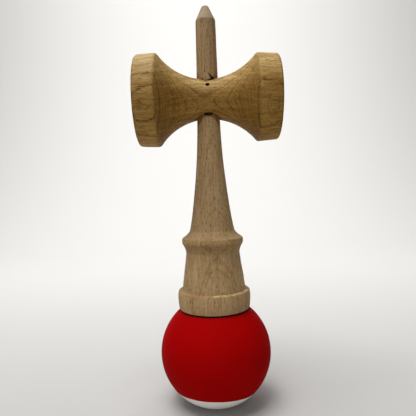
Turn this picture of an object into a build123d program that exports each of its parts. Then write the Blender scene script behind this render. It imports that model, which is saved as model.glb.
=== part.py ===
from build123d import *
import os
from math import radians, sqrt, tan

# A kendama standing on the hole of its ball, without its string.
# Millimetres, +Z up along the handle, X along the crossbar (big cup towards -X),
# origin on the table under the middle of the ball.

# Tama, the ball: a turned beech core under two coats of soft-touch paint
BALL_R = 30.0
COAT = 0.25                 # thickness of the paint
FOOT_RING_R = 11.5          # where the ball is turned flat round its hole
PAINT_EDGE_LIFT = 0.3       # the paint stops this far above the flat ring
BORE_R = 8.25
BORE_DEPTH = 36.0
BORE_BEVEL_R = 9.7          # radius of the bevel at the bore's mouth
BORE_BEVEL_H = 1.6
DRILL_TIP_ANGLE = 59        # half angle of the cone that the drill leaves
STRING_HOLE_R = 1.5
STRING_HOLE_SINK_R = 2.3    # countersink of the string hole, on top of the ball
WHITE_DEPTH = 20.5          # from the ball's centre to the plane of the paint line
WHITE_TIP_BACK = 7.4        # the dip's lean, in degrees: the line is higher in front
WHITE_TIP_SIDE = 2.2        # and a little higher towards the big cup

# Ken, the handle: base cup, bead, long taper and spike turned in one piece
RIM_IN_R = 17.9             # base cup's lip
RIM_OUT_R = 19.2
LIP_ROUND = 0.5
LIP_RING_R = 18.15          # middle of the rounded lip, where it rests on the ball
SEAT_GAP = 0.1
DISH_DEPTH = 9.2
BAND_R = 19.72
BAND_Z = 57.6
BAND_TOP_R = 19.35
BAND_TOP_Z = 61.65
BAND_ROUND = 0.6
STEP_R = 17.15              # foot of the cone that stands on the band's flat top
STEP_Z = 62.05
WAIST_R = 14.5              # sharp corner where the cone meets the bead's underside
WAIST_Z = 82.4
BEAD_LOW_R = 16.4           # lower and upper edges of the bead's face
BEAD_LOW_Z = 87.2
BEAD_R = 16.65
BEAD_Z = 88.6
BEAD_TOP_R = 16.42
BEAD_TOP_Z = 90.0
TAPER_FOOT_R = 12.15        # sharp corner where the taper grows out of the bead
TAPER_FOOT_Z = 94.1
NECK_FOOT_R = 6.16          # just under the crossbar
NECK_FOOT_Z = 152.0
SHOULDER_Z = 155.0          # small step that the crossbar's mouth closes over
SHOULDER_H = 0.35
SHAFT_FOOT_R = 5.92
SPIKE_TOP_R = 5.3
SPIKE_TOP_Z = 206.2
TIP_FLAT_R = 1.7
TIP_Z = 214.0
TIP_ROUND = 1.0
KEN_HOLE_R = 2.45           # cross hole that the string is threaded through
KEN_HOLE_Z = 157.05

# Sarado, the crossbar with the big cup and the small cup
BAR_HALF = 37.5
BAR_Z = 164.7               # height of its axis
NECK_R = 10.5
BIG_RIDGE_R = 24.6
BIG_RIDGE_X = 26.5
BIG_BAND_R = 24.3
BIG_BAND_X = 34.0
BIG_RIM_R = 23.9
BIG_DISH_RIM_R = 21.25
BIG_DISH_DEPTH = 10.5
SMALL_RIDGE_R = 23.2
SMALL_RIDGE_X = 26.2
SMALL_RIM_R = 22.4
SMALL_DISH_RIM_R = 19.9
SMALL_DISH_DEPTH = 9.0
RIM_OUT_ROUND = 1.3
RIM_IN_ROUND = 0.8
RIDGE_ROUND = 1.4
BAR_HOLE_GAP = 0.06         # radial play on the tapered shaft
BAR_MOUTH_R = 7.1           # counterbore under the crossbar
BAR_MOUTH_Z = 156.4
BAR_MOUTH_CONE_H = 1.0      # cone from the counterbore to the tapered hole
BAR_TOP_SINK_R = 6.3        # small bevel of the hole where the spike comes out
BAR_TOP_SINK_H = 0.5
BAR_STRING_HOLE_R = 1.05
BAR_STRING_HOLE_RISE = 35   # degrees above the horizontal, on the front

# Worked-out sizes
ball_z = sqrt(BALL_R**2 - FOOT_RING_R**2)
rim_z = ball_z + sqrt((BALL_R + LIP_ROUND + SEAT_GAP) ** 2 - LIP_RING_R**2) - LIP_ROUND
dish_z = rim_z + DISH_DEPTH
shaft_foot_z = SHOULDER_Z + SHOULDER_H
shaft_slope = (SHAFT_FOOT_R - SPIKE_TOP_R) / (SPIKE_TOP_Z - shaft_foot_z)
paint_axis = Vector(0, 0, 1).rotate(Axis.X, -WHITE_TIP_BACK).rotate(Axis.Y, WHITE_TIP_SIDE)
paint_plane = Plane(origin=(0, 0, ball_z), z_dir=paint_axis).offset(-WHITE_DEPTH)


def shaft_r(z):
    """Radius of the ken's tapered shaft at height z."""
    return SHAFT_FOOT_R - shaft_slope * (z - shaft_foot_z)


def round_corner(outline, corner, radius):
    """Round the corner of a sketched outline that is nearest to a point."""
    fillet(outline.vertices().sort_by_distance(corner)[0], radius)


# Tama core. The bore is drilled up from the flat ring, and its cone runs into the
# string hole, which comes out on top.
drill_tip_z = BORE_DEPTH + (BORE_R - STRING_HOLE_R) / tan(radians(DRILL_TIP_ANGLE))
core_top_z = ball_z + BALL_R - COAT
sink_h = STRING_HOLE_SINK_R - STRING_HOLE_R
with BuildPart() as tama_core:
    with Locations((0, 0, ball_z)):
        Sphere(BALL_R - COAT)
    split(bisect_by=Plane.XY, keep=Keep.TOP)
    with BuildSketch(Plane.XZ):
        with BuildLine():
            Polyline(
                (0, 0),
                (BORE_BEVEL_R, 0),
                (BORE_R, BORE_BEVEL_H),
                (BORE_R, BORE_DEPTH),
                (STRING_HOLE_R, drill_tip_z),
                (STRING_HOLE_R, core_top_z - sink_h),
                (STRING_HOLE_SINK_R, core_top_z),
                (STRING_HOLE_SINK_R, core_top_z + 1),
                (0, core_top_z + 1),
                close=True,
            )
        make_face()
    revolve(axis=Axis.Z, mode=Mode.SUBTRACT)
tama_core.part.label = "tama_core"

# The red coat covers the ball down to the paint line
with BuildPart() as tama_red_coat:
    with Locations((0, 0, ball_z)):
        Sphere(BALL_R)
        Sphere(BALL_R - COAT, mode=Mode.SUBTRACT)
    split(bisect_by=paint_plane, keep=Keep.TOP)
    with Locations((0, 0, ball_z + BALL_R)):
        Cylinder(STRING_HOLE_SINK_R, 20 * COAT, mode=Mode.SUBTRACT)
tama_red_coat.part.label = "tama_red_coat"

# The white coat is the cap round the hole, dipped a little out of square
with BuildPart() as tama_white_coat:
    with Locations((0, 0, ball_z)):
        Sphere(BALL_R)
        Sphere(BALL_R - COAT, mode=Mode.SUBTRACT)
    split(bisect_by=paint_plane, keep=Keep.BOTTOM)
    split(bisect_by=Plane.XY.offset(PAINT_EDGE_LIFT), keep=Keep.TOP)
tama_white_coat.part.label = "tama_white_coat"

# Ken. Its outline runs from the base cup's dish over the lip, the round band, the
# waist, the bead and the taper to the bevelled tip of the spike.
with BuildPart() as ken:
    with BuildSketch(Plane.XZ) as ken_outline:
        with BuildLine():
            TangentArc((0, dish_z), (RIM_IN_R, rim_z), tangent=(1, 0))
            Line((RIM_IN_R, rim_z), (RIM_OUT_R, rim_z))
            ThreePointArc((RIM_OUT_R, rim_z), (BAND_R, BAND_Z), (BAND_TOP_R, BAND_TOP_Z))
            Line((BAND_TOP_R, BAND_TOP_Z), (STEP_R, STEP_Z))
            Spline((STEP_R, STEP_Z), (16.2, 70), (15.25, 76.2), (WAIST_R, WAIST_Z))
            Spline((WAIST_R, WAIST_Z), (14.95, 84.2), (15.75, 86.0), (BEAD_LOW_R, BEAD_LOW_Z))
            ThreePointArc((BEAD_LOW_R, BEAD_LOW_Z), (BEAD_R, BEAD_Z), (BEAD_TOP_R, BEAD_TOP_Z))
            Spline((BEAD_TOP_R, BEAD_TOP_Z), (14.7, 91.3), (13.2, 92.55), (TAPER_FOOT_R, TAPER_FOOT_Z))
            Spline(
                (TAPER_FOOT_R, TAPER_FOOT_Z),
                (11.33, 98),
                (9.3, 112),
                (7.54, 128),
                (6.56, 142),
                (NECK_FOOT_R, NECK_FOOT_Z),
                tangents=((-0.22, 1), (-0.01, 1)),
            )
            Polyline(
                (NECK_FOOT_R, NECK_FOOT_Z),
                (NECK_FOOT_R, SHOULDER_Z),
                (SHAFT_FOOT_R, shaft_foot_z),
                (SPIKE_TOP_R, SPIKE_TOP_Z),
                (TIP_FLAT_R, TIP_Z),
                (0, TIP_Z),
                (0, dish_z),
            )
        make_face()
        round_corner(ken_outline, (RIM_IN_R, rim_z), LIP_ROUND)
        round_corner(ken_outline, (RIM_OUT_R, rim_z), LIP_ROUND)
        round_corner(ken_outline, (BAND_TOP_R, BAND_TOP_Z), BAND_ROUND)
        round_corner(ken_outline, (TIP_FLAT_R, TIP_Z), TIP_ROUND)
        round_corner(ken_outline, (SPIKE_TOP_R, SPIKE_TOP_Z), TIP_ROUND)
    revolve(axis=Axis.Z)
    with BuildSketch(Plane.XZ):
        with Locations((0, KEN_HOLE_Z)):
            Circle(KEN_HOLE_R)
    extrude(amount=2 * NECK_FOOT_R, both=True, mode=Mode.SUBTRACT)
ken.part.label = "ken"

# Sarado. A round bar turned along X: two flared ends with a rim band each, dished
# cups in both ends, a tapered hole down through the neck for the ken, and a small
# string hole drilled towards its axis.
big_dish_x = BIG_DISH_DEPTH - BAR_HALF
small_dish_x = BAR_HALF - SMALL_DISH_DEPTH
bar_plane = Plane(origin=(0, 0, BAR_Z), x_dir=(1, 0, 0), z_dir=(0, -1, 0))
string_hole_axis = Vector(0, -1, 0).rotate(Axis.X, -BAR_STRING_HOLE_RISE)
string_hole_plane = Plane(origin=(0, 0, BAR_Z), z_dir=string_hole_axis)
hole_top_z = BAR_Z + NECK_R + 2
hole_low_z = BAR_Z - 2 * NECK_R
bevel_z = BAR_Z + sqrt(NECK_R**2 - BAR_TOP_SINK_R**2) - BAR_TOP_SINK_H
with BuildPart() as sarado:
    with BuildSketch(bar_plane) as bar_outline:
        with BuildLine():
            TangentArc((big_dish_x, 0), (-BAR_HALF, BIG_DISH_RIM_R), tangent=(0, 1))
            Polyline(
                (-BAR_HALF, BIG_DISH_RIM_R),
                (-BAR_HALF, BIG_RIM_R),
                (-BIG_BAND_X, BIG_BAND_R),
                (-BIG_RIDGE_X, BIG_RIDGE_R),
            )
            TangentArc((0, NECK_R), (-BIG_RIDGE_X, BIG_RIDGE_R), tangent=(-1, 0))
            TangentArc((0, NECK_R), (SMALL_RIDGE_X, SMALL_RIDGE_R), tangent=(1, 0))
            Polyline(
                (SMALL_RIDGE_X, SMALL_RIDGE_R),
                (BAR_HALF, SMALL_RIM_R),
                (BAR_HALF, SMALL_DISH_RIM_R),
            )
            TangentArc((small_dish_x, 0), (BAR_HALF, SMALL_DISH_RIM_R), tangent=(0, 1))
            Line((small_dish_x, 0), (big_dish_x, 0))
        make_face()
        round_corner(bar_outline, (-BAR_HALF, BIG_RIM_R), RIM_OUT_ROUND)
        round_corner(bar_outline, (BAR_HALF, SMALL_RIM_R), RIM_OUT_ROUND)
        round_corner(bar_outline, (-BAR_HALF, BIG_DISH_RIM_R), RIM_IN_ROUND)
        round_corner(bar_outline, (BAR_HALF, SMALL_DISH_RIM_R), RIM_IN_ROUND)
        round_corner(bar_outline, (-BIG_RIDGE_X, BIG_RIDGE_R), RIDGE_ROUND)
        round_corner(bar_outline, (SMALL_RIDGE_X, SMALL_RIDGE_R), RIDGE_ROUND)
    revolve(axis=Axis((0, 0, BAR_Z), (1, 0, 0)))
    with BuildSketch(Plane.XZ):
        with BuildLine():
            Polyline(
                (0, hole_low_z),
                (BAR_MOUTH_R, hole_low_z),
                (BAR_MOUTH_R, BAR_MOUTH_Z),
                (shaft_r(BAR_MOUTH_Z) + BAR_HOLE_GAP, BAR_MOUTH_Z + BAR_MOUTH_CONE_H),
                (shaft_r(bevel_z) + BAR_HOLE_GAP, bevel_z),
                (BAR_TOP_SINK_R, bevel_z + BAR_TOP_SINK_H),
                (BAR_TOP_SINK_R, hole_top_z),
                (0, hole_top_z),
                close=True,
            )
        make_face()
    revolve(axis=Axis.Z, mode=Mode.SUBTRACT)
    with BuildSketch(string_hole_plane):
        Circle(BAR_STRING_HOLE_R)
    extrude(amount=2 * NECK_R, mode=Mode.SUBTRACT)
sarado.part.label = "sarado"

os.makedirs("parts", exist_ok=True)
for piece in (tama_core, tama_red_coat, tama_white_coat, ken, sarado):
    export_step(piece.part, f"parts/{piece.part.label}.step")
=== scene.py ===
import math

import bpy
from mathutils import Matrix, Vector


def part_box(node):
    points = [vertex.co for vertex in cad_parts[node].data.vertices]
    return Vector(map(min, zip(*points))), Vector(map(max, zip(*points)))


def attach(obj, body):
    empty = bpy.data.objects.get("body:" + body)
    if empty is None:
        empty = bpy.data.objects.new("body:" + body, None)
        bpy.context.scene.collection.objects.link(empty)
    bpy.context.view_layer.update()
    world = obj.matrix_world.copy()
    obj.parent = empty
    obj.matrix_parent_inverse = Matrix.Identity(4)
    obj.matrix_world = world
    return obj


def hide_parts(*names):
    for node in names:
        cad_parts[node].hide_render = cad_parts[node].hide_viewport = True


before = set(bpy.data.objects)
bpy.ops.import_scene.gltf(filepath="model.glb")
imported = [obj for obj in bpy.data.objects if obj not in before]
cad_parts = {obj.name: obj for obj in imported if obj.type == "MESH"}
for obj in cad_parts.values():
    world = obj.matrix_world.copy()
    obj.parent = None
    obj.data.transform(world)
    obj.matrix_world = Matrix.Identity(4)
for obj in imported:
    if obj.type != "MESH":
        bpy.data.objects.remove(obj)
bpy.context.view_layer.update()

MM = 0.001


# ---------------------------------------------------------------- camera
# A close camera about half way up the handle. It looks a touch downwards and
# leans to one side, so the kendama stands slightly tilted in the frame.
EYE = Vector((0, -234.1, 116.6)) * MM
LOOK_DOWN, LEAN, TURN = math.radians(2.55), math.radians(1.9), math.radians(0.46)

camera = bpy.data.objects.new("camera", bpy.data.cameras.new("camera"))
bpy.context.scene.collection.objects.link(camera)
bpy.context.scene.camera = camera
camera.data.sensor_width = 36
camera.data.lens = 37.2
camera.data.clip_start = 0.01
upright = Matrix.Rotation(math.pi / 2 - LOOK_DOWN, 4, "X") @ Matrix.Rotation(-LEAN, 4, "Z")
camera.matrix_world = Matrix.Translation(EYE) @ Matrix.Rotation(TURN, 4, "Z") @ upright


# ---------------------------------------------------------------- studio
# A roll of pale paper that runs along the table and curves up behind. One soft box
# hangs overhead, a little to the left, a weak one fills in from low in front, and a
# third lights only the backdrop.
def srgb(code):
    """An sRGB hex colour as linear RGBA."""
    parts = [int(code[i:i + 2], 16) / 255 for i in (0, 2, 4)]
    return [c / 12.92 if c < 0.04045 else ((c + 0.055) / 1.055) ** 2.4 for c in parts] + [1]


def add_node(tree, kind, inputs=None, out=0, stops=None, **settings):
    """Add a node with its settings, inputs (values or links) and colour stops; return one output."""
    made = tree.nodes.new(kind)
    for key, value in settings.items():
        setattr(made, key, value)
    for key, value in (inputs or {}).items():
        if isinstance(value, bpy.types.NodeSocket):
            tree.links.new(value, made.inputs[key])
        else:
            made.inputs[key].default_value = value
    for n, (place, colour) in enumerate(stops or []):
        mark = made.color_ramp.elements[n] if n < 2 else made.color_ramp.elements.new(place)
        mark.position = place
        mark.color = colour if len(colour) == 4 else list(colour) * 3 + [1]
    return made.outputs[out] if made.outputs else made


def new_material(name):
    """An empty material and its node tree."""
    made = bpy.data.materials.new(name)
    made.use_nodes = True
    made.node_tree.nodes.clear()
    return made, made.node_tree


def finish_material(tree, surface):
    """Link a finished surface to the material's output."""
    add_node(tree, "ShaderNodeOutputMaterial", {"Surface": surface})


def pick(piece, wanted):
    """Go into edit mode with just those points selected whose position passes a test."""
    bpy.ops.object.select_all(action="DESELECT")
    piece.select_set(True)
    bpy.context.view_layer.objects.active = piece
    bpy.context.tool_settings.mesh_select_mode = (True, False, False)
    chosen = [wanted(vertex.co) for vertex in piece.data.vertices]
    for vertex, inside in zip(piece.data.vertices, chosen):
        vertex.select = inside
    for part in (*piece.data.edges, *piece.data.polygons):
        part.select = all(chosen[v] for v in part.vertices)
    bpy.ops.object.mode_set(mode="EDIT")


bpy.ops.object.select_all(action="DESELECT")
bpy.ops.mesh.primitive_plane_add(size=4, location=(0, -0.8, 0))
paper = bpy.context.object
paper.name = "paper_roll"
bpy.ops.object.transform_apply(location=True)
pick(paper, lambda at: at.y > 1)
bpy.ops.mesh.extrude_edges_move(TRANSFORM_OT_translate={"value": (0, 0, 3)})
bpy.ops.object.mode_set(mode="OBJECT")
sweep = paper.modifiers.new("sweep", "BEVEL")
sweep.width, sweep.segments, sweep.limit_method = 0.7, 24, "ANGLE"
bpy.ops.object.modifier_apply(modifier="sweep")
bpy.ops.object.shade_smooth()
material, tree = new_material("seamless paper")
finish_material(tree, add_node(tree, "ShaderNodeBsdfPrincipled", {
    "Base Color": srgb("bab9b7"), "Roughness": 0.95, "Specular IOR Level": 0.1}))
paper.data.materials.append(material)

world = bpy.data.worlds.new("studio")
bpy.context.scene.world = world
world.use_nodes = True
world.node_tree.nodes["Background"].inputs["Color"].default_value = (1, 1, 1, 1)
world.node_tree.nodes["Background"].inputs["Strength"].default_value = 0.13


def soft_box(name, place, aim, size, power):
    """A square soft box that points at a place."""
    box = bpy.data.objects.new(name, bpy.data.lights.new(name, "AREA"))
    bpy.context.scene.collection.objects.link(box)
    box.data.size, box.data.energy = size, power
    box.location = place
    box.rotation_euler = (Vector(aim) - Vector(place)).to_track_quat("-Z", "Y").to_euler()


soft_box("overhead", (-0.29, -0.27, 1.55), (0, 0, 0.11), 0.9, 23.5)
soft_box("front", (-0.1, -0.7, 0.06), (0, 0, 0.08), 0.4, 1.3)
soft_box("backdrop", (0, 0.35, 0.9), (0, 1.3, 0.35), 0.9, 14)
bpy.context.scene.view_settings.view_transform = "Standard"


# ---------------------------------------------------------------- tama, the wooden core
# The ball is turned from a block of beech and bored from below for the spike. Bare
# wood shows only in the bore, on its bevel and on the flat ring that it stands on.
def beech(name, along, bark, pith, spacing, wander, figure, flecks, grain, pale, tan, brown, place,
          swells=()):
    """Solid beech, cut along the grain: growth rings, ray flecks, pores and fibres.

    along is the grain's direction and bark the way out of the log. In mm, pith is how far
    the log's middle is, spacing a year's growth and wander how far the layers stray.
    figure, flecks and grain are how dark the late wood, the rays and the fibres are. Each
    swell (centre, size, push) lifts the layers locally, so that they are cut as ovals.
    """
    made, tree = new_material(name)
    across = Vector(along).cross(Vector(bark)).normalized()
    here = add_node(tree, "ShaderNodeTexCoord", out="Object")
    facing = add_node(tree, "ShaderNodeTexCoord", out="Normal")
    here = add_node(tree, "ShaderNodeVectorMath", {0: here, "Scale": 1000}, operation="SCALE")
    here = add_node(tree, "ShaderNodeVectorMath", {0: here, 1: place})
    turned_to = [
        add_node(tree, "ShaderNodeVectorMath", {0: here, 1: axis}, out="Value",
                 operation="DOT_PRODUCT") for axis in (along, bark, across)]
    log = add_node(tree, "ShaderNodeCombineXYZ", dict(enumerate(turned_to)))

    # The log isn't straight: its layers stray slowly, and ripple from year to year.
    slow = add_node(tree, "ShaderNodeVectorMath", {0: log, 1: (0.03, 0.07, 0.07)}, operation="MULTIPLY")
    stray = add_node(tree, "ShaderNodeTexNoise", {"Vector": slow, "Scale": 1, "Detail": 1}, out="Color")
    stray = add_node(tree, "ShaderNodeVectorMath", {0: stray, 1: (0.5, 0.5, 0.5)}, operation="SUBTRACT")
    stray = add_node(tree, "ShaderNodeVectorMath", {0: stray, 1: (0, 4 * wander, 4 * wander)},
                     operation="MULTIPLY")
    quick = add_node(tree, "ShaderNodeVectorMath", {0: log, 1: (0.3, 0.5, 0.7)}, operation="MULTIPLY")
    ripple = add_node(tree, "ShaderNodeTexNoise", {"Vector": quick, "Scale": 1, "Detail": 2}, out="Color")
    ripple = add_node(tree, "ShaderNodeVectorMath", {0: ripple, 1: (0.5, 0.5, 0.5)}, operation="SUBTRACT")
    ripple = add_node(tree, "ShaderNodeVectorMath", {0: ripple, 1: (0, 0.55, 0.55)}, operation="MULTIPLY")
    bent = add_node(tree, "ShaderNodeVectorMath", {0: log, 1: stray})

    # Growth layers lie round the pith. Each ends in a thin darker line of late wood.
    from_pith = add_node(tree, "ShaderNodeVectorMath", {0: bent, 1: ripple})
    from_pith = add_node(tree, "ShaderNodeVectorMath", {0: from_pith, 1: (0, 1, 1)}, operation="MULTIPLY")
    from_pith = add_node(tree, "ShaderNodeVectorMath", {0: from_pith, 1: (0, pith, 0)})
    depth = add_node(tree, "ShaderNodeVectorMath", {0: from_pith}, out="Value", operation="LENGTH")
    for centre, size, push in swells:
        off = add_node(tree, "ShaderNodeVectorMath", {0: here, 1: Vector(centre) + Vector(place)},
                       operation="SUBTRACT")
        off = add_node(tree, "ShaderNodeVectorMath", {0: off, 1: [1 / n for n in size]},
                       operation="MULTIPLY")
        off = add_node(tree, "ShaderNodeVectorMath", {0: off}, out="Value", operation="LENGTH")
        off = add_node(tree, "ShaderNodeMapRange", {0: off, 1: 0.0, 2: 1.0, 3: push, 4: 0.0},
                       interpolation_type="SMOOTHSTEP")
        depth = add_node(tree, "ShaderNodeMath", {0: depth, 1: off})
    uneven = add_node(tree, "ShaderNodeTexNoise", {"W": depth, "Scale": 0.35, "Detail": 1},
                      noise_dimensions="1D")
    years = add_node(tree, "ShaderNodeMath", {0: depth, 1: 1 / spacing}, operation="MULTIPLY")
    years = add_node(tree, "ShaderNodeMath", {0: uneven, 1: 3.0, 2: years}, operation="MULTIPLY_ADD")
    season = add_node(tree, "ShaderNodeMath", {0: years}, operation="FRACT")
    year = add_node(tree, "ShaderNodeMath", {0: years}, operation="FLOOR")
    strength = add_node(tree, "ShaderNodeTexWhiteNoise", {"W": year}, noise_dimensions="1D")
    strength = add_node(tree, "ShaderNodeMath", {0: strength, 1: 0.7, 2: 0.3}, operation="MULTIPLY_ADD")
    late = add_node(tree, "ShaderNodeValToRGB", {0: season}, stops=[
        (0.0, (0.2,)), (1.0, (0.6,)), (0.06, (0.0,)), (0.55, (0.03,)), (0.76, (0.2,)), (0.88, (1.0,))])
    late = add_node(tree, "ShaderNodeMath", {0: late, 1: strength}, operation="MULTIPLY")

    # The rays break the dark lines up into short strokes.
    strokes = add_node(tree, "ShaderNodeVectorMath", {0: log, 1: (0.5, 0.4, 1.2)}, operation="MULTIPLY")
    strokes = add_node(tree, "ShaderNodeTexNoise", {"Vector": strokes, "Scale": 1, "Detail": 1})
    strokes = add_node(tree, "ShaderNodeMapRange", {0: strokes, 1: 0.4, 2: 0.58, 3: 0.25, 4: 1.0})
    late = add_node(tree, "ShaderNodeMath", {0: late, 1: strokes}, operation="MULTIPLY")

    # Rays are thin plates, 1 to 3 mm high along the grain: short dark dashes on the
    # face of the piece and broad flecks on its sides.
    plates = add_node(tree, "ShaderNodeVectorMath", {0: bent, 1: (0.42, 0.16, 1.6)}, operation="MULTIPLY")
    ray = add_node(tree, "ShaderNodeTexVoronoi", {"Vector": plates, "Scale": 1}, out="Distance")
    ray_chance = add_node(tree, "ShaderNodeTexVoronoi", {"Vector": plates, "Scale": 1}, out="Color")
    ray_chance = add_node(tree, "ShaderNodeSeparateXYZ", {0: ray_chance})
    ray_chance = add_node(tree, "ShaderNodeMapRange", {0: ray_chance, 1: 0.25, 2: 0.95, 3: 0.0, 4: 1.0})
    ray = add_node(tree, "ShaderNodeMapRange", {0: ray, 1: 0.16, 2: 0.4, 3: 1.0, 4: 0.0})
    ray = add_node(tree, "ShaderNodeMath", {0: ray, 1: ray_chance}, operation="MULTIPLY")

    # Pores and fibres run along the grain, 0.1 to 0.3 mm wide. The finest would not
    # show, so they are drawn about twice as coarse as real ones.
    fine = add_node(tree, "ShaderNodeVectorMath", {0: bent, 1: (0.16, 2.2, 2.2)}, operation="MULTIPLY")
    fibre = add_node(tree, "ShaderNodeTexNoise", {"Vector": fine, "Scale": 1, "Detail": 3})
    specks = add_node(tree, "ShaderNodeVectorMath", {0: bent, 1: (0.6, 2.4, 2.4)}, operation="MULTIPLY")
    pore = add_node(tree, "ShaderNodeTexNoise", {"Vector": specks, "Scale": 1, "Detail": 2})
    pore = add_node(tree, "ShaderNodeMapRange", {0: pore, 1: 0.53, 2: 0.68, 3: 0.0, 4: 1.0})
    broad = add_node(tree, "ShaderNodeTexNoise", {"Vector": slow, "Scale": 2.2, "Detail": 2})

    # Seen from the side the rays line up in long level streaks.
    level = add_node(tree, "ShaderNodeVectorMath", {0: bent, 1: (0.05, 0.1, 0.9)}, operation="MULTIPLY")
    streak = add_node(tree, "ShaderNodeTexNoise", {"Vector": level, "Scale": 1, "Detail": 3})

    # Wood cut across the grain drinks in more light than wood cut along it.
    end = add_node(tree, "ShaderNodeVectorMath", {0: facing, 1: along}, out="Value",
                   operation="DOT_PRODUCT")
    end = add_node(tree, "ShaderNodeMath", {0: end}, operation="ABSOLUTE")

    dark = add_node(tree, "ShaderNodeMath", {0: late, 1: figure, 2: 0.1}, operation="MULTIPLY_ADD")
    dark = add_node(tree, "ShaderNodeMath", {0: ray, 1: flecks, 2: dark}, operation="MULTIPLY_ADD")
    dark = add_node(tree, "ShaderNodeMath", {0: pore, 1: 0.2 * grain, 2: dark}, operation="MULTIPLY_ADD")
    dark = add_node(tree, "ShaderNodeMath", {0: end, 1: 0.15, 2: dark}, operation="MULTIPLY_ADD")
    grey = add_node(tree, "ShaderNodeMath", {0: fibre, 1: 0.5}, operation="SUBTRACT")
    dark = add_node(tree, "ShaderNodeMath", {0: grey, 1: 0.7 * grain, 2: dark}, operation="MULTIPLY_ADD")
    patch = add_node(tree, "ShaderNodeMath", {0: broad, 1: 0.5}, operation="SUBTRACT")
    dark = add_node(tree, "ShaderNodeMath", {0: patch, 1: 0.25, 2: dark}, operation="MULTIPLY_ADD")
    lines = add_node(tree, "ShaderNodeMath", {0: streak, 1: 0.5}, operation="SUBTRACT")
    dark = add_node(tree, "ShaderNodeMath", {0: lines, 1: 0.6 * grain, 2: dark}, operation="MULTIPLY_ADD",
                    use_clamp=True)
    colour = add_node(tree, "ShaderNodeValToRGB", {0: dark}, out="Color", stops=[
        (0.0, srgb(pale)), (1.0, srgb(brown)), (0.25, srgb(tan))])

    relief = add_node(tree, "ShaderNodeMath", {0: ray, 1: 0.5, 2: late}, operation="MULTIPLY_ADD")
    relief = add_node(tree, "ShaderNodeMath", {0: pore, 1: 0.6, 2: relief}, operation="MULTIPLY_ADD")
    relief = add_node(tree, "ShaderNodeMath", {0: fibre, 1: 0.8, 2: relief}, operation="MULTIPLY_ADD")
    bump = add_node(tree, "ShaderNodeBump", {"Height": relief, "Strength": 0.5, "Distance": 0.0002},
                    invert=True)
    rough = add_node(tree, "ShaderNodeMapRange", {0: fibre, 1: 0.3, 2: 0.7, 3: 0.6, 4: 0.78})
    return made, tree, colour, bump, rough


def wood_surface(tree, colour, bump, rough):
    """Bare sanded wood: matt, with only a weak reflection."""
    finish_material(tree, add_node(tree, "ShaderNodeBsdfPrincipled", {
        "Base Color": colour, "Roughness": rough, "Normal": bump, "Specular IOR Level": 0.18}))


def crisp(piece):
    """Smooth shading that stays flat between the rounded edges."""
    bpy.ops.object.select_all(action="DESELECT")
    piece.select_set(True)
    bpy.context.view_layer.objects.active = piece
    bpy.ops.object.shade_smooth_by_angle(angle=math.radians(20))
    piece.modifiers.new("shading", "WEIGHTED_NORMAL").keep_sharp = True
    bpy.ops.object.modifier_apply(modifier="shading")


def turned(name, outline, around):
    """Turn a piece on the lathe: a circle drawn out ring by ring along its outline.

    The outline is a list of (radius, height) in millimetres. An end at radius 0 is closed.
    """
    tiny = 0.02
    rings = [(max(radius, tiny), height) for radius, height in outline]
    bpy.ops.object.select_all(action="DESELECT")
    bpy.ops.mesh.primitive_circle_add(
        vertices=around, radius=rings[0][0] * MM, location=(0, 0, rings[0][1] * MM))
    piece = bpy.context.object
    piece.name = piece.data.name = name
    bpy.ops.object.mode_set(mode="EDIT")
    bpy.ops.mesh.select_all(action="SELECT")
    if outline[0][0] == 0:
        bpy.ops.mesh.edge_face_add()
        bpy.ops.mesh.poke()
        bpy.ops.object.mode_set(mode="OBJECT")
        pick(piece, lambda at: math.hypot(at.x, at.y) > tiny * MM / 2)
    for (old_radius, old_height), (radius, height) in zip(rings, rings[1:]):
        bpy.ops.mesh.extrude_edges_move(
            TRANSFORM_OT_translate={"value": (0, 0, (height - old_height) * MM)})
        grow = radius / old_radius
        bpy.ops.transform.resize(value=(grow, grow, 1), center_override=(0, 0, 0))
    if outline[-1][0] == 0:
        bpy.ops.mesh.edge_face_add()
        bpy.ops.mesh.poke()
    bpy.ops.mesh.select_all(action="SELECT")
    bpy.ops.mesh.remove_doubles(threshold=tiny * MM / 10)
    bpy.ops.mesh.normals_make_consistent(inside=False)
    bpy.ops.object.mode_set(mode="OBJECT")
    bpy.ops.object.transform_apply(location=True, rotation=True, scale=True)
    return piece


def line(start, end, steps):
    """Points from start to end, without the start."""
    return [tuple(a + (b - a) * n / steps for a, b in zip(start, end)) for n in range(1, steps + 1)]


def round_about(centre, radius, first, last, steps):
    """Points on a circle about (radius, height), from one angle to another, in degrees from outwards."""
    angles = [math.radians(first + (last - first) * n / steps) for n in range(steps + 1)]
    return [(max(centre[0] + radius * math.cos(a), 0), centre[1] + radius * math.sin(a)) for a in angles]


BALL_R = 30.0
COAT = 0.25
FOOT_RING_R = 11.5
BORE_R, BORE_DEPTH = 8.25, 36.0
BEVEL_R, BEVEL_H = 9.7, 1.6
STRING_R, SINK_R = 1.5, 2.3
ball_z = math.sqrt(BALL_R**2 - FOOT_RING_R**2)
core_r = BALL_R - COAT
drill_tip = BORE_DEPTH + (BORE_R - STRING_R) / math.tan(math.radians(59))
core_top = ball_z + core_r
first = math.degrees(math.asin(SINK_R / core_r))
lowest = -math.degrees(math.asin(ball_z / core_r))

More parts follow.
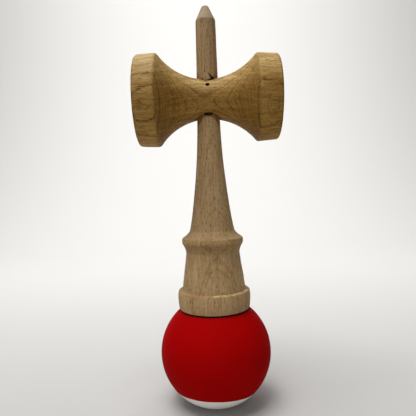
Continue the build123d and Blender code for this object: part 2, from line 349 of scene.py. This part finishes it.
outline = round_about((0, ball_z), core_r, 90 - first, lowest, 96)
outline += line(outline[-1], (BEVEL_R, 0), 2)
outline += line((BEVEL_R, 0), (BORE_R, BEVEL_H), 3)
outline += line((BORE_R, BEVEL_H), (BORE_R, BORE_DEPTH), 24)
outline += line((BORE_R, BORE_DEPTH), (STRING_R, drill_tip), 6)
outline += line((STRING_R, drill_tip), (STRING_R, core_top - 1), 10)
outline += [outline[0]]
core = turned("ball_core", outline, 144)
crisp(core)
material, tree, colour, bump, rough = beech(
    "bare beech, bored", along=(1, 0, 0), bark=(0, -1, 0), pith=55, spacing=1.6,
    wander=1.1, figure=0.4, flecks=0.3, grain=1, pale="bf9f78", tan="a68258", brown="5c3a1e",
    place=(13, 4, 31))
wood_surface(tree, colour, bump, rough)
core.data.materials.append(material)
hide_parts("tama_core")
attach(core, "tama")


# ---------------------------------------------------------------- tama, the two coats of paint
# The ball is sprayed red and its cap round the bore white, in a rubbery soft-touch
# paint about a quarter of a millimetre thick. The line between them is a dip that
# went in a few degrees out of square.
WHITE_DEPTH = 20.5
SEAT_R = 18.4
paint_axis = Matrix.Rotation(math.radians(2.2), 3, "Y") @ Matrix.Rotation(math.radians(-7.4), 3, "X")
paint_axis = paint_axis @ Vector((0, 0, 1))
paint_point = Vector((0, 0, ball_z)) - paint_axis * WHITE_DEPTH


def coat(name, keep_above):
    """A skin of paint over the core, cut at the paint line."""
    bpy.ops.object.select_all(action="DESELECT")
    bpy.ops.mesh.primitive_uv_sphere_add(
        segments=160, ring_count=80, radius=core_r * MM, location=(0, 0, ball_z * MM))
    skin = bpy.context.object
    skin.name = skin.data.name = name
    bpy.ops.object.transform_apply(location=True)
    pick(skin, lambda at: math.hypot(at.x, at.y) < 0.8 * SINK_R * MM)
    bpy.ops.mesh.delete(type="VERT")
    bpy.ops.mesh.select_all(action="SELECT")
    bpy.ops.mesh.bisect(
        plane_co=paint_point * MM, plane_no=paint_axis,
        clear_inner=keep_above, clear_outer=not keep_above)
    if not keep_above:
        bpy.ops.mesh.select_all(action="SELECT")
        bpy.ops.mesh.bisect(plane_co=(0, 0, 0.3 * MM), plane_no=(0, 0, 1), clear_inner=True)
    bpy.ops.mesh.select_all(action="SELECT")
    bpy.ops.mesh.remove_doubles(threshold=0.05 * MM)
    bpy.ops.mesh.normals_make_consistent(inside=False)
    bpy.ops.object.mode_set(mode="OBJECT")
    thick = skin.modifiers.new("thickness", "SOLIDIFY")
    thick.thickness, thick.offset = COAT * MM, 1
    bpy.ops.object.modifier_apply(modifier="thickness")
    edge = skin.modifiers.new("edge", "BEVEL")
    edge.width, edge.segments, edge.limit_method, edge.angle_limit = 0.07 * MM, 2, "ANGLE", 1.0
    bpy.ops.object.modifier_apply(modifier="edge")
    bpy.ops.object.shade_smooth_by_angle(angle=math.radians(40))
    return skin


def soft_touch_paint(name, base, scuffed, place):
    """Rubbery matt paint: an even colour, a fine orange peel, a few rubbed spots and a painted shadow ring
    under the cup's lip.
    """
    made, tree = new_material(name)
    here = add_node(tree, "ShaderNodeTexCoord", out="Object")
    here = add_node(tree, "ShaderNodeVectorMath", {0: here, "Scale": 1000}, operation="SCALE")
    here = add_node(tree, "ShaderNodeVectorMath", {0: here, 1: place})
    peel = add_node(tree, "ShaderNodeTexNoise", {"Vector": here, "Scale": 1.6, "Detail": 3})
    cloud = add_node(tree, "ShaderNodeTexNoise", {"Vector": here, "Scale": 0.06, "Detail": 3})
    rub = add_node(tree, "ShaderNodeTexNoise", {"Vector": here, "Scale": 0.35, "Detail": 5})
    rub = add_node(tree, "ShaderNodeMapRange", {0: rub, 1: 0.6, 2: 0.78, 3: 0.0, 4: 0.45})
    wear = add_node(tree, "ShaderNodeMapRange", {0: cloud, 1: 0.4, 2: 0.65, 3: 0.0, 4: 0.3})
    wear = add_node(tree, "ShaderNodeMath", {0: rub, 1: 0.5, 2: wear}, operation="MULTIPLY_ADD")
    colour = add_node(tree, "ShaderNodeMix", {0: wear, 6: srgb(base), 7: srgb(scuffed)}, out=2,
                      data_type="RGBA")
    rough = add_node(tree, "ShaderNodeMapRange", {0: cloud, 1: 0.35, 2: 0.65, 3: 0.66, 4: 0.76})
    rough = add_node(tree, "ShaderNodeMath", {0: rub, 1: -0.15, 2: rough}, operation="MULTIPLY_ADD")
    # Painted shade: a thin dark ring is painted where the cup's lip sits on the ball, standing in for the
    # lip's contact shadow.
    lip_shadow = add_node(tree, "ShaderNodeTexCoord", out="Object")
    high = add_node(tree, "ShaderNodeSeparateXYZ", {0: lip_shadow}, out=2)
    high = add_node(tree, "ShaderNodeMath", {0: high, 1: 0.04}, operation="GREATER_THAN")
    lip_shadow = add_node(tree, "ShaderNodeVectorMath", {0: lip_shadow, 1: (1, 1, 0)}, operation="MULTIPLY")
    lip_shadow = add_node(tree, "ShaderNodeVectorMath", {0: lip_shadow}, out="Value", operation="LENGTH")
    lip_shadow = add_node(tree, "ShaderNodeMath", {0: lip_shadow, 1: SEAT_R * MM}, operation="SUBTRACT")
    lip_shadow = add_node(tree, "ShaderNodeMath", {0: lip_shadow}, operation="ABSOLUTE")
    lip_shadow = add_node(tree, "ShaderNodeMapRange", {0: lip_shadow, 1: 0.0004, 2: 0.0008, 3: 0.85, 4: 0.0})
    lip_shadow = add_node(tree, "ShaderNodeMath", {0: lip_shadow, 1: high}, operation="MULTIPLY")
    colour = add_node(tree, "ShaderNodeMix", {0: lip_shadow, 6: colour, 7: (0.02, 0.01, 0.01, 1)}, out=2,
                      data_type="RGBA")
    bump = add_node(tree, "ShaderNodeBump", {"Height": peel, "Strength": 0.25, "Distance": 0.00005})
    finish_material(tree, add_node(tree, "ShaderNodeBsdfPrincipled", {
        "Base Color": colour, "Roughness": rough, "Normal": bump,
        "Specular IOR Level": 0.015}))
    return made


red_coat = coat("red_coat", keep_above=True)
red_coat.data.materials.append(
    soft_touch_paint("red soft-touch paint", "a00203", "940304", (5, 9, 2)))
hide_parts("tama_red_coat")
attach(red_coat, "tama")

white_coat = coat("white_coat", keep_above=False)
white_coat.data.materials.append(
    soft_touch_paint("white soft-touch paint", "efebe5", "dad4cb", (2, 7, 11)))
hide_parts("tama_white_coat")
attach(white_coat, "tama")


# ---------------------------------------------------------------- ken, the handle
# One long piece of beech, turned between centres: base cup with its band, waist,
# bead, taper, and the spike that the crossbar is pushed down on.
def smooth(points, steps):
    """A smooth curve through points (Catmull-Rom), steps pieces between each two."""
    ends = [points[0]] + points + [points[-1]]
    path = [points[0]]
    for a, b, c, d in zip(ends, ends[1:], ends[2:], ends[3:]):
        for n in range(1, steps + 1):
            t = n / steps
            path.append(tuple(
                0.5 * (2 * q + (r - p) * t + (2 * p - 5 * q + 4 * r - s) * t**2
                       + (3 * q - p - 3 * r + s) * t**3)
                for p, q, r, s in zip(a, b, c, d)))
    return path


def ease_corner(piece, radius, height, width, segments):
    """Round the sharp ring at a radius and height: its edges are selected and bevelled."""
    pick(piece, lambda at: abs(math.hypot(at.x, at.y) - radius * MM) < 0.02 * MM
         and abs(at.z - height * MM) < 0.02 * MM)
    bpy.ops.mesh.bevel(offset=width * MM, segments=segments)
    bpy.ops.object.mode_set(mode="OBJECT")


def cut(piece, *tools):
    """Cut tools out of a piece and throw them away."""
    bpy.context.view_layer.objects.active = piece
    for tool in tools:
        change = piece.modifiers.new("cut", "BOOLEAN")
        change.object, change.solver = tool, "EXACT"
        bpy.ops.object.modifier_apply(modifier=change.name)
        bpy.data.objects.remove(tool)


# The corners of the outline, as (radius, height), then the crossbar's axis and neck, the
# cross hole for the string, and the height where the spike has split.
RIM_IN_R, RIM_OUT_R = 17.9, 19.2
DISH_DEPTH = 9.2
LEDGE, LEDGE_FOOT = (19.35, 61.65), (17.15, 62.05)
WAIST = (14.5, 82.4)
BEAD_LOW, BEAD_TOP = (16.45, 87.2), (16.42, 90.0)
TAPER_FOOT, SHOULDER = (12.15, 94.1), (6.16, 155)
SPIKE_FOOT, SPIKE_TOP, TIP = (5.92, 155.35), (5.3, 206.2), (1.7, 214.0)
BAR_Z, NECK_R = 164.7, 10.5
CROSS_HOLE_R, CROSS_HOLE_Z = 2.45, 157.05
SPLIT_Z = 172.5

rim_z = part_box("ken")[0].z / MM
dish_z = rim_z + DISH_DEPTH
dish_r = (RIM_IN_R**2 + DISH_DEPTH**2) / (2 * DISH_DEPTH)
dish_turn = math.degrees(math.asin(RIM_IN_R / dish_r))

outline = [(0, dish_z)]
outline += round_about((0, dish_z - dish_r), dish_r, 88, 90 - dish_turn, 16)
outline += [(RIM_OUT_R, rim_z)]
outline += smooth([(RIM_OUT_R, rim_z), (19.55, 54.8), (19.72, 57.6), (19.62, 59.9), LEDGE], 2)[1:]
outline += line(LEDGE, LEDGE_FOOT, 2)
outline += smooth([LEDGE_FOOT, (16.2, 70), (15.25, 76.2), WAIST], 8)[1:]
outline += smooth([WAIST, (14.95, 84.2), (15.75, 86.0), BEAD_LOW], 3)[1:]
outline += smooth([BEAD_LOW, (16.65, 88.6), BEAD_TOP], 3)[1:]
outline += smooth([BEAD_TOP, (14.7, 91.3), (13.2, 92.55), TAPER_FOOT], 3)[1:]
outline += smooth([
    TAPER_FOOT, (11.33, 98), (10.2, 105), (9.3, 112), (8.35, 120), (7.54, 128), (6.98, 135),
    (6.56, 142), (6.16, 152), SHOULDER], 6)[1:]
outline += line(SHOULDER, SPIKE_FOOT, 1)
outline += line(SPIKE_FOOT, SPIKE_TOP, 60)
outline += line(SPIKE_TOP, TIP, 6)
outline += [(0, TIP[1])]
ken = turned("ken_handle", outline, 144)
ease_corner(ken, RIM_IN_R, rim_z, 0.4, 4)
ease_corner(ken, RIM_OUT_R, rim_z, 0.5, 4)
ease_corner(ken, *LEDGE, 0.5, 4)
ease_corner(ken, *BEAD_LOW, 0.15, 2)
ease_corner(ken, *BEAD_TOP, 0.15, 2)
ease_corner(ken, *SPIKE_TOP, 0.4, 3)
ease_corner(ken, *TIP, 0.8, 4)


def crack(start, end, width, deep):
    """A blade that stands in the handle's surface from start to end, in mm, to split it with."""
    start, end = Vector(start), Vector(end)
    middle = (start + end) / 2
    along = (end - start).normalized()
    out = Vector((middle.x, middle.y, 0)).normalized()
    thick = out.cross(along).normalized()
    out = along.cross(thick)
    bpy.ops.mesh.primitive_cone_add(vertices=4, radius1=0.7, radius2=0.1, depth=1)
    blade = bpy.context.object
    size = Matrix.Diagonal((width * MM, 2 * deep * MM, (end - start).length * MM, 1))
    blade.matrix_world = (Matrix.Translation(middle * MM)
                          @ Matrix((thick, out, along)).transposed().to_4x4() @ size)
    bpy.ops.object.transform_apply(location=True, rotation=True, scale=True)
    return blade


bpy.ops.object.select_all(action="DESELECT")
bpy.ops.mesh.primitive_cylinder_add(
    vertices=48, radius=CROSS_HOLE_R * MM, depth=30 * MM, location=(0, 0, CROSS_HOLE_Z * MM),
    rotation=(math.pi / 2, 0, 0))
cut(ken, bpy.context.object)

# The spike has split a little where it comes out of the crossbar.
cut(ken, crack((2.9, -5.05, 174.6), (0.3, -5.75, 177.8), 1.05, 1.2),
    crack((3.6, -4.5, 174.7), (-1.2, -5.6, 173.4), 1.5, 1.3),
    crack((-1.2, -5.55, 177.8), (-1.15, -5.5, 182.0), 0.35, 0.7),
    crack((-2.6, -5.1, 174.0), (-2.6, -5.1, 175.2), 0.8, 0.6))
crisp(ken)

material, tree, colour, bump, rough = beech(
    "sanded beech, handle", along=(0, 0, 1), bark=(0.19, -0.98, 0), pith=60, spacing=1.5,
    wander=0.4, figure=0.34, flecks=0.5, grain=0.7, pale="b89b71", tan="a08056", brown="4f301b",
    place=(0, 0, 0), swells=[((2.6, -15.5, 87.6), (4.2, 8, 6.6), 3.2)])

# The spike's bevel is made paler and greyer. Painted shade: a brown ring is painted round the handle at
# the crossbar's mouth, below it and more faintly above it, standing in for the crossbar's shadow on the
# handle.
at = add_node(tree, "ShaderNodeTexCoord", out="Object")
height = add_node(tree, "ShaderNodeSeparateXYZ", {0: at}, out=2)
tip = add_node(tree, "ShaderNodeMapRange", {
    0: height, 1: (SPIKE_TOP[1] - 0.2) * MM, 2: (SPIKE_TOP[1] + 0.4) * MM, 3: 0.0, 4: 0.6})
colour = add_node(tree, "ShaderNodeMix", {0: tip, 6: colour, 7: srgb("c0af96")}, out=2, data_type="RGBA")
# Painted shade: the crossbar's shadow on the handle, as a brown ring round its mouth.
side = add_node(tree, "ShaderNodeSeparateXYZ", {0: at}, out=0)
far_out = add_node(tree, "ShaderNodeMath", {0: side, 1: 2}, operation="POWER")
neck = add_node(tree, "ShaderNodeMath", {0: far_out, 1: 15.6, 2: NECK_R * MM}, operation="MULTIPLY_ADD")
from_bar = add_node(tree, "ShaderNodeVectorMath", {0: at, 1: (0, 0, -BAR_Z * MM)})
from_bar = add_node(tree, "ShaderNodeVectorMath", {0: from_bar, 1: (0, 1, 1)}, operation="MULTIPLY")
from_bar = add_node(tree, "ShaderNodeVectorMath", {0: from_bar}, out="Value", operation="LENGTH")
from_bar = add_node(tree, "ShaderNodeMath", {0: from_bar, 1: neck}, operation="SUBTRACT")
outside = add_node(tree, "ShaderNodeMapRange", {0: from_bar, 1: -0.0022, 2: -0.0002, 3: 0.25, 4: 1.0})
from_bar = add_node(tree, "ShaderNodeMath", {0: far_out, 1: -105, 2: from_bar}, operation="MULTIPLY_ADD")
bar_shadow = add_node(tree, "ShaderNodeMapRange", {0: from_bar, 1: 0.0002, 2: 0.0014, 3: 0.95, 4: 0.0})
fade = add_node(tree, "ShaderNodeMapRange", {0: height, 1: 0.16, 2: 0.17, 3: 1.0, 4: 0.45})
bar_shadow = add_node(tree, "ShaderNodeMath", {0: bar_shadow, 1: fade}, operation="MULTIPLY")
bar_shadow = add_node(tree, "ShaderNodeMath", {0: bar_shadow, 1: outside}, operation="MULTIPLY")
colour = add_node(tree, "ShaderNodeMix", {0: bar_shadow, 6: colour, 7: (0.5, 0.36, 0.22, 1)}, out=2,
                  data_type="RGBA", blend_type="MULTIPLY")

# The handle is made darker on the spike and low on the taper than between them.
height_tone = add_node(tree, "ShaderNodeMapRange", {0: height, 1: 0.09, 2: 0.21})
height_tone = add_node(tree, "ShaderNodeValToRGB", {0: height_tone}, out="Color", stops=[
    (0.0, (1.0,)), (1.0, (0.79,)), (0.06, (0.87,)), (0.25, (0.88,)), (0.43, (0.96,)), (0.54, (0.95,)),
    (0.7, (0.87,))])
colour = add_node(tree, "ShaderNodeMix", {0: 1.0, 6: colour, 7: height_tone}, out=2,
                  data_type="RGBA", blend_type="MULTIPLY")

# Painted light and shade: the bead's top is painted paler and greyer, as if lit from above, and its face
# and the hollow under it darker and browner, standing in for the bead's shadow.
bead_light_shade = add_node(tree, "ShaderNodeMapRange", {0: height, 1: 0.08, 2: 0.1})
bead_light_shade = add_node(tree, "ShaderNodeValToRGB", {0: bead_light_shade}, out="Color", stops=[
    (0.0, (1.0,)), (1.0, (1.0,)), (0.11, (1.0,)), (0.14, (0.88, 0.85, 0.78, 1)),
    (0.35, (0.84, 0.8, 0.72, 1)), (0.38, (0.94, 0.93, 0.83, 1)), (0.5, (0.94, 0.93, 0.83, 1)),
    (0.515, (1.07, 1.14, 1.22, 1)), (0.66, (1.03, 1.08, 1.12, 1)), (0.72, (1.0,))])
colour = add_node(tree, "ShaderNodeMix", {0: 1.0, 6: colour, 7: bead_light_shade}, out=2,
                  data_type="RGBA", blend_type="MULTIPLY")

# Painted highlight: the ledge's corner is painted pale in broken dashes, from just left of the middle
# rightwards, where its edge catches the light.
ledge = add_node(tree, "ShaderNodeMath", {0: height, 1: (LEDGE[1] + 0.15) * MM, 2: 0.22 * MM},
                 operation="COMPARE")
ledge_highlight = add_node(tree, "ShaderNodeTexNoise", {"Vector": at, "Scale": 380, "Detail": 2})
ledge_highlight = add_node(tree, "ShaderNodeMapRange", {0: ledge_highlight, 1: 0.5, 2: 0.6, 3: 0.0, 4: 0.6})
ledge_highlight = add_node(tree, "ShaderNodeMath", {0: ledge_highlight, 1: ledge}, operation="MULTIPLY")
right_half = add_node(tree, "ShaderNodeMapRange", {0: side, 1: -0.005, 2: -0.001, 3: 0.0, 4: 1.0})
ledge_highlight = add_node(tree, "ShaderNodeMath", {0: ledge_highlight, 1: right_half}, operation="MULTIPLY")
colour = add_node(tree, "ShaderNodeMix", {0: ledge_highlight, 6: colour, 7: srgb("dcc096")}, out=2, data_type="RGBA")

# Painted shade: the inside of the spike's split is painted dark brown and the string's cross hole nearly
# black, standing in for the shadow in them.
outwards = add_node(tree, "ShaderNodeVectorMath", {0: at, 1: (1, 1, 0)}, operation="MULTIPLY")
outwards = add_node(tree, "ShaderNodeVectorMath", {0: outwards}, out="Value", operation="LENGTH")
taper = add_node(tree, "ShaderNodeMapRange", {
    0: height, 1: SPLIT_Z * MM, 2: SPIKE_TOP[1] * MM, 3: 5.71 * MM, 4: SPIKE_TOP[0] * MM})
sunk = add_node(tree, "ShaderNodeMath", {0: taper, 1: outwards}, operation="SUBTRACT")
sunk = add_node(tree, "ShaderNodeMapRange", {0: sunk, 1: 0.0001, 2: 0.0002, 3: 0.0, 4: 1.0})
split_shade = add_node(tree, "ShaderNodeMath", {0: height, 1: 0.195}, operation="LESS_THAN")
split_shade = add_node(tree, "ShaderNodeMath", {0: split_shade, 1: sunk}, operation="MULTIPLY")
clear_of_bar = add_node(tree, "ShaderNodeMath", {0: height, 1: SPLIT_Z * MM}, operation="GREATER_THAN")
split_shade = add_node(tree, "ShaderNodeMath", {0: split_shade, 1: clear_of_bar}, operation="MULTIPLY")
hole_shade = add_node(tree, "ShaderNodeVectorMath", {0: at, 1: (0, 0, -CROSS_HOLE_Z * MM)})
hole_shade = add_node(tree, "ShaderNodeVectorMath", {0: hole_shade, 1: (1, 0, 1)}, operation="MULTIPLY")
hole_shade = add_node(tree, "ShaderNodeVectorMath", {0: hole_shade}, out="Value", operation="LENGTH")
hole_shade = add_node(tree, "ShaderNodeMath", {0: hole_shade, 1: (CROSS_HOLE_R + 0.02) * MM}, operation="LESS_THAN")
colour = add_node(tree, "ShaderNodeMix", {0: split_shade, 6: colour, 7: (0.24, 0.12, 0.05, 1)}, out=2,
                  data_type="RGBA", blend_type="MULTIPLY")
colour = add_node(tree, "ShaderNodeMix", {0: hole_shade, 6: colour, 7: (0.06, 0.03, 0.02, 1)}, out=2,
                  data_type="RGBA", blend_type="MULTIPLY")
wood_surface(tree, colour, bump, rough)
ken.data.materials.append(material)
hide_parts("ken")
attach(ken, "ken")


# ---------------------------------------------------------------- sarado, the crossbar
# A thick round of beech turned like a spool, with a dished cup in each end, the
# larger on the left. It is drilled through the neck for the spike, and once more,
# small, for the string.
BAR_HALF = 37.5
BIG_LIP_R, BIG_RIM_R, BIG_RIDGE_R, BIG_RIDGE_X = 21.25, 23.9, 24.6, 26.5
SMALL_LIP_R, SMALL_RIM_R, SMALL_RIDGE_R, SMALL_RIDGE_X = 19.9, 22.4, 23.2, 26.2
BIG_DEPTH, SMALL_DEPTH = 10.5, 9.0
STRING_HOLE_R, STRING_HOLE_RISE = 1.12, math.radians(35)


def flank(ridge_x, ridge_r, steps):
    """The neck's hollow flank, from the ridge to the middle, as one arc."""
    bend = (ridge_x**2 + (ridge_r - NECK_R) ** 2) / (2 * (ridge_r - NECK_R))
    reach = math.degrees(math.asin(ridge_x / bend))
    return [(NECK_R + bend - bend * math.cos(math.radians(reach * n / steps)),
             bend * math.sin(math.radians(reach * n / steps))) for n in range(steps + 1)]


def dish(rim_r, depth, steps):
    """A cup's hollow, from its middle to its rim, as (radius, depth under the rim)."""
    bend = (rim_r**2 + depth**2) / (2 * depth)
    reach = math.asin(rim_r / bend)
    return [(bend * math.sin(reach * n / steps), bend * math.cos(reach * n / steps) - bend + depth)
            for n in range(steps + 1)]


big_side = flank(BIG_RIDGE_X, BIG_RIDGE_R, 36)
small_side = flank(SMALL_RIDGE_X, SMALL_RIDGE_R, 36)
outline = [(radius, deep - BAR_HALF) for radius, deep in dish(BIG_LIP_R, BIG_DEPTH, 22)]
outline += line((BIG_LIP_R, -BAR_HALF), (BIG_RIM_R, -BAR_HALF), 1)
outline += line((BIG_RIM_R, -BAR_HALF), (24.3, -34), 2)
outline += line((24.3, -34), (BIG_RIDGE_R, -BIG_RIDGE_X), 4)
outline += [(radius, -x) for radius, x in reversed(big_side)][1:]
outline += small_side[1:]
outline += line((SMALL_RIDGE_R, SMALL_RIDGE_X), (SMALL_RIM_R, BAR_HALF), 6)
outline += line((SMALL_RIM_R, BAR_HALF), (SMALL_LIP_R, BAR_HALF), 1)
small_dish = dish(SMALL_LIP_R, SMALL_DEPTH, 22)
outline += [(radius, BAR_HALF - deep) for radius, deep in reversed(small_dish)][1:]
bar = turned("crossbar", outline, 192)
ease_corner(bar, BIG_LIP_R, -BAR_HALF, 0.6, 4)
ease_corner(bar, BIG_RIM_R, -BAR_HALF, 1.2, 6)
ease_corner(bar, BIG_RIDGE_R, -BIG_RIDGE_X, 0.9, 5)
ease_corner(bar, SMALL_LIP_R, BAR_HALF, 0.6, 4)
ease_corner(bar, SMALL_RIM_R, BAR_HALF, 1.2, 6)
ease_corner(bar, SMALL_RIDGE_R, SMALL_RIDGE_X, 0.9, 5)
bar.rotation_euler = (0, math.pi / 2, 0)
bar.location = (0, 0, BAR_Z * MM)
bpy.ops.object.transform_apply(location=True, rotation=True)

hole = turned("hole", [(0, 140), (7.1, 140), (7.1, 156.4), (5.96, 157.4), (5.77, 172.6), (6.3, 173.1),
                       (6.3, 180), (0, 180)], 96)
hole_out = (0, -math.cos(STRING_HOLE_RISE), math.sin(STRING_HOLE_RISE))
bpy.ops.object.select_all(action="DESELECT")
bpy.ops.mesh.primitive_cylinder_add(
    vertices=40, radius=STRING_HOLE_R * MM, depth=16 * MM,
    location=(0, 8 * hole_out[1] * MM, (BAR_Z + 8 * hole_out[2]) * MM),
    rotation=(math.pi / 2 - STRING_HOLE_RISE, 0, 0))
cut(bar, hole, bpy.context.object)
crisp(bar)

material, tree, colour, bump, rough = beech(
    "sanded beech, crossbar", along=(1, 0, 0), bark=(0, -0.956, -0.292), pith=40.7, spacing=1.5,
    wander=0.9, figure=0.75, flecks=0.3, grain=1.0, pale="c4aa77", tan="a5854f", brown="3a210a",
    place=(60, 0, -BAR_Z), swells=[((32.4, -21, 156.4), (4.6, 9, 9.5), 4.0)])

# The neck and its flanks are made darker and browner; the rim bands stay pale. Painted light and shade:
# the top is painted paler and greyer, as if lit from overhead, and the underside a darker, deeper brown,
# as if in shade.
at = add_node(tree, "ShaderNodeTexCoord", out="Object")
at = add_node(tree, "ShaderNodeVectorMath", {0: at, 1: (0, 0, -BAR_Z * MM)})
radial = add_node(tree, "ShaderNodeVectorMath", {0: at, 1: (0, 1, 1)}, operation="MULTIPLY")
upward = add_node(tree, "ShaderNodeVectorMath", {0: radial}, operation="NORMALIZE")
upward = add_node(tree, "ShaderNodeSeparateXYZ", {0: upward}, out=2)
upward = add_node(tree, "ShaderNodeMapRange", {0: upward, 1: -1.0, 2: 1.0})
from_axis = add_node(tree, "ShaderNodeVectorMath", {0: radial}, out="Value", operation="LENGTH")
from_axis = add_node(tree, "ShaderNodeMath", {0: from_axis, 1: 40}, operation="MULTIPLY")
neck_and_flank_tone = add_node(tree, "ShaderNodeValToRGB", {0: from_axis}, stops=[
    (0.0, (0.5,)), (1.0, (0.0,)), (0.45, (0.55,)), (0.6, (1.0,)), (0.88, (1.0,)), (0.97, (0.0,))])
colour = add_node(tree, "ShaderNodeMix", {0: neck_and_flank_tone, 6: colour, 7: (0.85, 0.79, 0.56, 1)}, out=2,
                  data_type="RGBA", blend_type="MULTIPLY")
# Painted light and shade: a paler, greyer top and a darker brown underside.
top_light_under_shade = add_node(tree, "ShaderNodeValToRGB", {0: upward}, out="Color", stops=[
    (0.15, (0.66, 0.55, 0.31, 1)), (1.0, (1.1, 1.12, 1.22, 1)), (0.47, (0.72, 0.6, 0.38, 1)),
    (0.6, (0.78, 0.68, 0.48, 1)), (0.84, (1.13, 1.15, 1.22, 1))])
colour = add_node(tree, "ShaderNodeMix", {0: 1.0, 6: colour, 7: top_light_under_shade}, out=2,
                  data_type="RGBA", blend_type="MULTIPLY")

# Painted shade: the string's hole is painted nearly black, standing in for the shadow inside it.
off = add_node(tree, "ShaderNodeVectorMath", {0: at, 1: hole_out}, operation="CROSS_PRODUCT")
off = add_node(tree, "ShaderNodeVectorMath", {0: off}, out="Value", operation="LENGTH")
off = add_node(tree, "ShaderNodeMath", {0: off, 1: (STRING_HOLE_R + 0.18) * MM}, operation="LESS_THAN")
deep = add_node(tree, "ShaderNodeVectorMath", {0: at, 1: hole_out}, out="Value", operation="DOT_PRODUCT")
deep = add_node(tree, "ShaderNodeMath", {0: deep, 1: 0.0081, 2: 0.0022}, operation="COMPARE")
hole_shade = add_node(tree, "ShaderNodeMath", {0: off, 1: deep}, operation="MULTIPLY")
colour = add_node(tree, "ShaderNodeMix", {0: hole_shade, 6: colour, 7: (0.06, 0.04, 0.03, 1)}, out=2,
                  data_type="RGBA", blend_type="MULTIPLY")
wood_surface(tree, colour, bump, rough)
bar.data.materials.append(material)
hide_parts("sarado")
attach(bar, "sarado")
